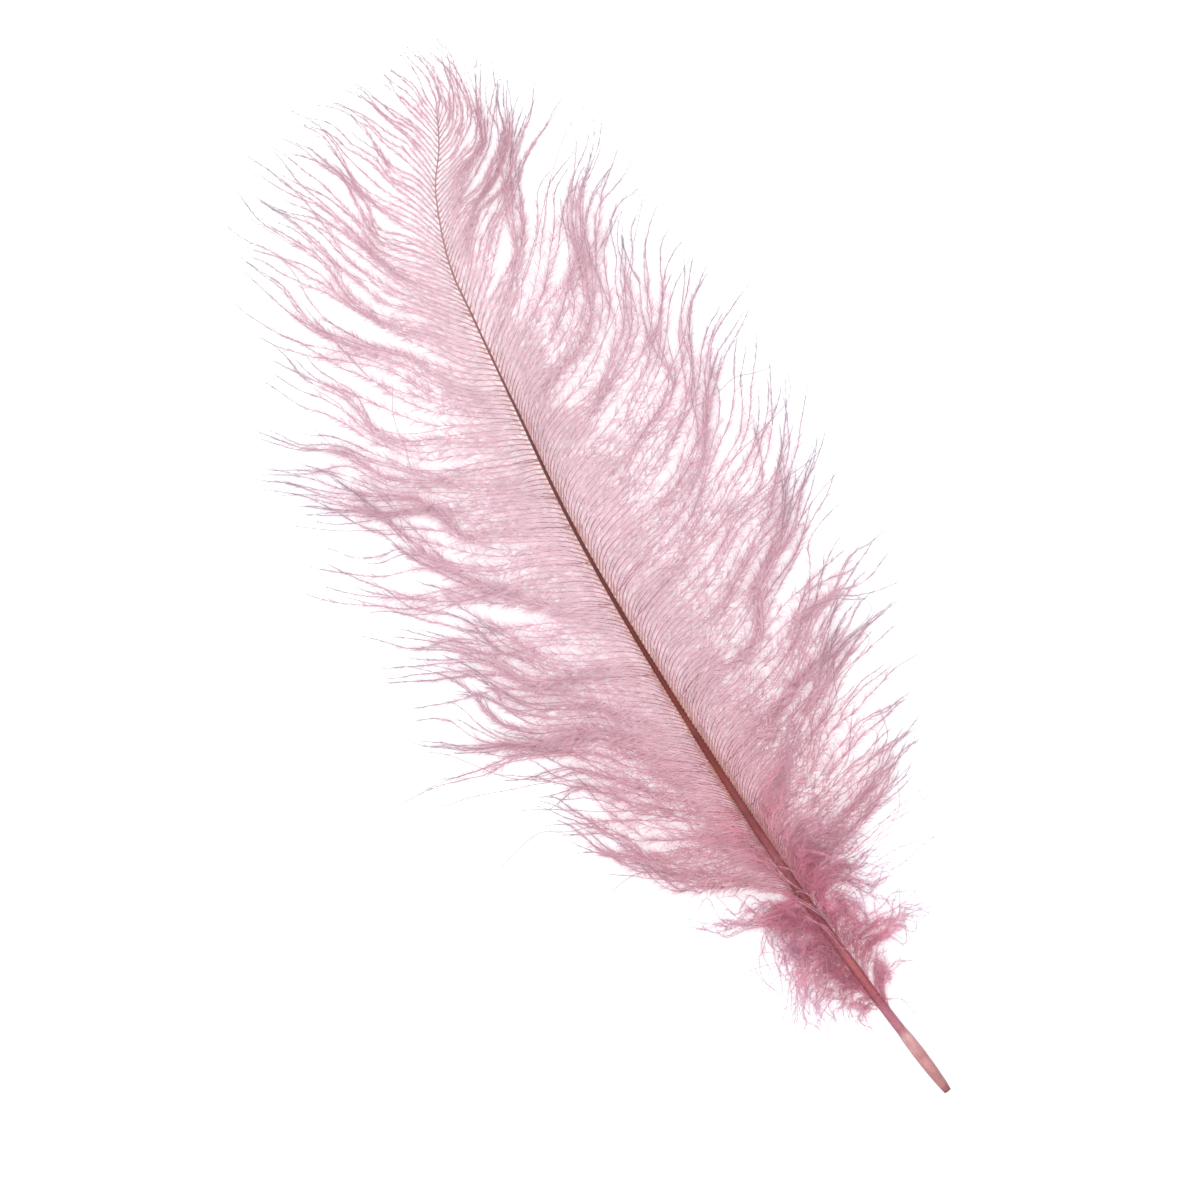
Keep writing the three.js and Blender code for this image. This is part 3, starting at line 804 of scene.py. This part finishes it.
def scaled(nodes, links, color, factor):
    scale = nodes.new("ShaderNodeVectorMath")
    scale.operation = "SCALE"
    links.new(color, scale.inputs[0])
    links.new(factor, scale.inputs["Scale"])
    return scale.outputs[0]


def fibre_material(name, lower, upper, grain, roughness):
    """A dyed fibre. Its colour goes from root to tip along u, lower and upper are those colours at
    the two ends of the piece along the shaft, and each barb and barbule has its own tone."""
    material, nodes, links, uv = new_material(name)
    shader = nodes["Principled BSDF"]
    parts = nodes.new("ShaderNodeSeparateXYZ")
    links.new(uv, parts.inputs[0])
    mixed = nodes.new("ShaderNodeMix")
    mixed.data_type = "RGBA"
    links.new(parts.outputs["Y"], mixed.inputs[0])
    for stops, socket in ((lower, mixed.inputs[6]), (upper, mixed.inputs[7])):
        ramp = color_ramp(nodes, stops)
        links.new(parts.outputs["X"], ramp.inputs[0])
        links.new(ramp.outputs["Color"], socket)
    color = mixed.outputs[2]
    for along, across, spread in grain:
        tone = noise_range(nodes, links, uv, (along, across, 1), 1 - spread, 1 + spread)
        color = scaled(nodes, links, color, tone)
    links.new(color, shader.inputs["Base Color"])
    gloss = noise_range(nodes, links, uv, (20, 40, 1), roughness - 0.1, roughness + 0.1)
    links.new(gloss, shader.inputs["Roughness"])
    set_inputs(shader, {"Specular IOR Level": 0.35, "Sheen Weight": 0.1, "Sheen Roughness": 0.5})
    return material


# Colours from a barb's root to its tip, at four places along the shaft: the share of the barb, and red,
# green and blue as they look on a screen.
# The darker stretch just past each barb's root (shares 0.014 to 0.1) is partly the barbs' own colour and
# partly painted shade, standing for the shade in the gaps between neighbouring barbs next to the shaft.
RAMUS_TONES = [
    [(0.0, 240, 180, 164), (0.014, 216, 150, 150), (0.035, 190, 110, 124), (0.1, 200, 121, 134),
     (0.22, 215, 150, 165), (0.6, 212, 150, 164), (1.0, 144, 120, 136)],
    [(0.0, 246, 196, 180), (0.014, 218, 156, 156), (0.035, 173, 105, 119), (0.1, 193, 121, 134),
     (0.22, 217, 158, 172), (0.6, 208, 152, 166), (1.0, 132, 114, 130)],
    [(0.0, 242, 192, 180), (0.014, 208, 150, 152), (0.035, 165, 103, 117), (0.1, 188, 119, 132),
     (0.22, 211, 154, 168), (0.6, 196, 145, 159), (1.0, 122, 110, 126)],
    [(0.0, 206, 162, 160), (0.014, 178, 124, 134), (0.035, 165, 111, 123), (0.1, 180, 124, 136),
     (0.22, 204, 150, 163), (0.5, 184, 138, 152), (1.0, 114, 106, 122)],
]
BARBULE_TONES = [
    [(0.0, 248, 200, 196), (0.03, 242, 198, 208), (0.25, 232, 176, 191), (0.8, 226, 180, 194),
     (1.0, 200, 168, 188)],
    [(0.0, 252, 216, 208), (0.03, 250, 221, 230), (0.25, 244, 211, 222), (0.8, 233, 195, 208),
     (1.0, 186, 164, 182)],
    [(0.0, 252, 218, 212), (0.03, 250, 223, 231), (0.25, 244, 213, 223), (0.8, 232, 194, 207),
     (1.0, 178, 158, 176)],
    [(0.0, 246, 216, 214), (0.03, 245, 222, 230), (0.25, 231, 190, 203), (0.8, 214, 163, 177),
     (1.0, 164, 144, 162)],
]
DOWN_RAMUS_TONES = [(0.0, 232, 168, 182), (0.6, 240, 194, 212), (1.0, 196, 168, 194)]
DOWN_TONES = [(0.0, 222, 137, 158), (0.6, 230, 163, 183), (1.0, 220, 186, 208)]
SKIRT_TONES = [(0.0, 234, 162, 176), (0.6, 232, 170, 186), (1.0, 220, 186, 204)]
# Tone noise on each kind of fibre: turns along a barb, turns along the shaft, and spread.
BARB_GRAIN = [(4, 40, 0.08)]
BARBULE_GRAIN = [(4, 40, 0.08), (25, 60, 0.2)]
DOWN_GRAIN = [(2.5, 9, 0.24), (15, 40, 0.26)]


SHAFT_TOP = 276.0
SHAFT_TONES = [
    (0, 130, 82, 86), (1.2, 166, 104, 104), (2.5, 192, 136, 136), (8, 200, 138, 140),
    (13, 208, 150, 151), (16.0, 216, 162, 163), (16.9, 224, 174, 173), (18.2, 206, 150, 155),
    (19.2, 184, 118, 133), (26, 186, 114, 130), (33, 182, 102, 111), (40, 182, 106, 110),
    (48, 176, 100, 110), (55, 148, 74, 82), (60, 160, 88, 92), (66, 146, 76, 84),
    (72, 164, 94, 102), (79, 142, 68, 76), (86, 140, 68, 72), (96, 128, 54, 50),
    (108, 118, 46, 46), (111, 134, 58, 54), (116, 118, 44, 38), (150, 108, 42, 44),
    (190, 108, 52, 60), (215, 140, 84, 94), (240, 180, 132, 142), (276, 192, 150, 158),
]


def shaft_material():
    """Dyed horn: see-through salmon at the quill, then brown-red, and paler again towards the tip,
    with flanks painted darker than the top and the underside as painted shade, growth blotches and
    fine lengthwise lines. u runs along it and v around it."""
    material, nodes, links, uv = new_material("dyed_horn")
    shader = nodes["Principled BSDF"]
    parts = nodes.new("ShaderNodeSeparateXYZ")
    links.new(uv, parts.inputs[0])
    ramp = color_ramp(nodes, [(y / SHAFT_TOP, *color) for y, *color in SHAFT_TONES])
    links.new(parts.outputs["X"], ramp.inputs[0])

    def maths(operation, first, second=0.0):
        node = nodes.new("ShaderNodeMath")
        node.operation = operation
        for socket, value in zip(node.inputs, (first, second)):
            if isinstance(value, float):
                socket.default_value = value
            else:
                links.new(value, socket)
        return node.outputs[0]

    # From 1 along the top and the underside to 0 on the flanks. It paints shade on the flanks, where the
    # see-through horn looks darker seen edge on, and leaves the top and the underside lighter.
    facing = maths("ABSOLUTE", maths("COSINE", maths("MULTIPLY", parts.outputs["Y"], 2 * math.pi)))
    flank_shade = maths("ADD", maths("MULTIPLY", maths("POWER", facing, 1.1), 0.55), 0.5)
    blotches = noise_range(nodes, links, uv, (70, 3, 1), 0.82, 1.16)
    lines = noise_range(nodes, links, uv, (12, 60, 1), 0.94, 1.06)
    speckles = noise_range(nodes, links, uv, (320, 12, 1), 0.9, 1.1)
    tone = maths("MULTIPLY", maths("MULTIPLY", flank_shade, blotches), maths("MULTIPLY", lines, speckles))
    links.new(scaled(nodes, links, ramp.outputs["Color"], tone), shader.inputs["Base Color"])
    gloss = noise_range(nodes, links, uv, (90, 8, 1), 0.28, 0.5)
    links.new(gloss, shader.inputs["Roughness"])
    bump = nodes.new("ShaderNodeBump")
    set_inputs(bump, {"Strength": 0.25, "Distance": 0.0001})
    links.new(maths("ADD", lines, blotches), bump.inputs["Height"])
    links.new(bump.outputs[0], shader.inputs["Normal"])
    shader.inputs["Specular IOR Level"].default_value = 0.3
    return material


# ---------------------------------------------------------------- the shaft

SHAFT_SIDES = 24
SHAFT_ROWS = 300
# The open end of the quill, from the bottom of its pit out to the rim: radius, and distance along.
QUILL_END = [(0.0, 2.4), (0.55, 2.0), (0.62, 0.35), (0.8, 0.05)]
# The groove along the underside: where it begins and ends (y), its depth and its width.
GROOVE_BEGINS, GROOVE_ENDS = (24, 34), (215, 245)
GROOVE_DEPTH, GROOVE_WIDTH = 0.4, 0.42
SQUARENESS = 2.5


def make_shaft():
    """A bent tube with a rounded open end, and a groove along its underside above the quill."""
    ends = np.array(QUILL_END)
    distance = np.linspace(0, 1, SHAFT_ROWS) ** 1.05 * (SHAFT_TOP - 0.05)
    width = shaft_half_width(distance)
    radius = np.r_[ends[:, 0], width, 0.0]
    along = np.r_[ends[:, 1], distance, SHAFT_TOP]
    middle = np.column_stack([np.interp(along, SHAFT[:, 1], axis) for axis in SHAFT.T])
    ahead = np.column_stack([
        np.interp(along, SHAFT[:, 1], way) for way in unit(np.gradient(SHAFT, axis=0)).T
    ])
    level = unit(np.cross(ahead, [0.0, 0.0, 1.0]))
    up = np.cross(level, ahead)
    turn = np.linspace(0, 2 * math.pi, SHAFT_SIDES + 1)
    x, z = -np.sin(turn), -np.cos(turn)
    square = (np.abs(x) ** SQUARENESS + np.abs(z) ** SQUARENESS) ** (-1 / SQUARENESS)
    grooved = smooth_step(*GROOVE_BEGINS, along) * (1 - smooth_step(*GROOVE_ENDS, along))
    dent = GROOVE_DEPTH * np.exp(-(np.minimum(turn, 2 * math.pi - turn) / GROOVE_WIDTH) ** 2)
    shape = square * (1 - grooved[:, None] * dent)
    ring = level[:, None] * (x * shape)[..., None] + up[:, None] * (z * shape)[..., None]
    places = middle[:, None] + ring * radius[:, None, None]
    rows, columns = shape.shape
    first = (np.arange(rows - 1) * columns)[:, None] + np.arange(columns - 1)
    corners = np.stack([first, first + 1, first + columns + 1, first + columns], -1)
    u = np.minimum(along / SHAFT_TOP, 1)
    u[:len(ends)] = 0
    v = turn / (2 * math.pi)
    grid = np.dstack(np.broadcast_arrays(u[:, None], v[None]))
    uvs = np.stack([grid[:-1, :-1], grid[:-1, 1:], grid[1:, 1:], grid[1:, :-1]], axis=2)
    sizes = np.full(corners.size // 4, 4)
    return mesh_object("shaft_horn", places.reshape(-1, 3), corners.reshape(-1), sizes,
                       uvs.reshape(-1, 2), shaft_material())


# ---------------------------------------------------------------- the feather

def dressed(piece, node):
    """A piece tied to the feather and to the solid that it stands in for, which it hides."""
    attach(piece, "root")
    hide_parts(node)
    return piece


def down_materials(name, tones):
    """The materials of downy barbs and of their barbules."""
    horn = fibre_material(f"{name}_barb", DOWN_RAMUS_TONES, DOWN_RAMUS_TONES, DOWN_GRAIN, 0.5)
    return horn, fibre_material(f"{name}_barbule", tones, tones, DOWN_GRAIN, 0.75)


def make_skirt(node, side, locks):
    group = lock_barbs(side, locks, SKIRT)
    horn, soft = down_materials(f"{node}_skirt", SKIRT_TONES)
    dressed(rami(f"{node}_skirt_barbs", group, DOWN_RADII, horn), node)
    dressed(barbules(f"{node}_skirt_barbules", group, SKIRT_BARBULES, soft), node)


def make_vane(node, side, locks, strays):
    paths, roots = lock_barbs(side, locks, VANE)
    loose = stray_barbs(side, strays, VANE)
    edges = np.linspace(roots.min() - 0.01, roots.max() + 0.01, 4)
    for i, part in enumerate(("lower", "middle", "upper")):
        inside = (roots > edges[i]) & (roots <= edges[i + 1])
        astray = (loose[1] > edges[i]) & (loose[1] <= edges[i + 1])
        group = (paths[inside], roots[inside])
        wisps = (loose[0][astray], loose[1][astray])
        horn = fibre_material(f"barb_{part}", *RAMUS_TONES[i:i + 2], BARB_GRAIN, 0.5)
        soft = fibre_material(f"barbule_{part}", *BARBULE_TONES[i:i + 2], BARBULE_GRAIN, 0.7)
        dressed(rami(f"{node}_barbs_{part}", joined(group, wisps), VANE_RADII, horn), node)
        dressed(barbules(f"{node}_barbules_{part}", group, VANE_BARBULES, soft), node)
        dressed(barbules(f"{node}_wisps_{part}", wisps, WISP_BARBULES, soft), node)


def make_down(node, side, locks, strays):
    group = lock_barbs(side, locks, DOWN)
    wisps = stray_barbs(side, strays, DOWN)
    over = crossing_barbs(node)
    horn, soft = down_materials(node, DOWN_TONES)
    dressed(rami(f"{node}_barbs", joined(group, wisps, over), DOWN_RADII, horn), node)
    dressed(barbules(f"{node}_barbules", group, DOWN_BARBULES, soft), node)
    dressed(barbules(f"{node}_wisps", joined(wisps, over), WISP_BARBULES, soft), node)


dressed(make_shaft(), "shaft")
make_vane("vane_left", -1, LEFT_LOCKS, LEFT_STRAYS)
make_vane("vane_right", 1, RIGHT_LOCKS, RIGHT_STRAYS)
make_skirt("vane_left", -1, LEFT_SKIRT)
make_skirt("vane_right", 1, RIGHT_SKIRT)
make_down("down_left", -1, LEFT_DOWN, LEFT_DOWN_STRAYS)
make_down("down_right", 1, RIGHT_DOWN, RIGHT_DOWN_STRAYS)


# ---------------------------------------------------------------- floor, light and camera

# In metres, from the middle of the feather.
TABLE_REACH = 3.0
LAMP_PLACE = (-0.5, 0.5, 1.3)


def make_floor():
    mesh = bpy.data.meshes.new("table")
    turns = ((-1, -1), (1, -1), (1, 1), (-1, 1))
    mesh.from_pydata([(x * TABLE_REACH, y * TABLE_REACH, 0) for x, y in turns], [], [(0, 1, 2, 3)])
    material = bpy.data.materials.new("light_table")
    material.use_nodes = True
    set_inputs(material.node_tree.nodes["Principled BSDF"], {
        "Base Color": (0.6, 0.62, 0.63, 1), "Roughness": 0.9,
        "Emission Color": (0.965, 0.995, 1, 1), "Emission Strength": 0.66,
    })
    mesh.materials.append(material)
    floor = bpy.data.objects.new("table", mesh)
    bpy.context.scene.collection.objects.link(floor)


def make_light():
    world = bpy.data.worlds.new("studio")
    world.use_nodes = True
    set_inputs(world.node_tree.nodes["Background"], {"Color": (1, 1, 1, 1), "Strength": 0.9})
    bpy.context.scene.world = world
    lamp = bpy.data.lights.new("soft_box", "AREA")
    lamp.shape = "SQUARE"
    lamp.size = 1.2
    lamp.energy = 6
    box = bpy.data.objects.new("soft_box", lamp)
    box.location = LAMP_PLACE
    box.rotation_euler = (-Vector(LAMP_PLACE)).to_track_quat("-Z", "Y").to_euler()
    bpy.context.scene.collection.objects.link(box)


# The photograph's frame is 300 mm square, its middle is this place on the feather, and the plume
# leans this far from upright in it.
VIEW_MIDDLE = (-20.4, 148.7)
VIEW_SIZE = 300.0
VIEW_LEAN = 27.5
VIEW_LENS = 100.0
SENSOR = 36.0


def make_camera():
    lens = bpy.data.cameras.new("camera")
    lens.lens = VIEW_LENS
    lens.sensor_width = SENSOR
    lens.sensor_height = SENSOR
    camera = bpy.data.objects.new("camera", lens)
    middle = np.array([*VIEW_MIDDLE, 0.0]) * MM + SHIFT
    height = VIEW_SIZE * VIEW_LENS / SENSOR * MM
    camera.location = (middle[0], middle[1], height)
    camera.rotation_euler = (0, 0, math.radians(-VIEW_LEAN))
    lens.clip_end = 10
    bpy.context.scene.collection.objects.link(camera)
    bpy.context.scene.camera = camera


make_floor()
make_light()
make_camera()
bpy.context.scene.view_settings.view_transform = "Standard"
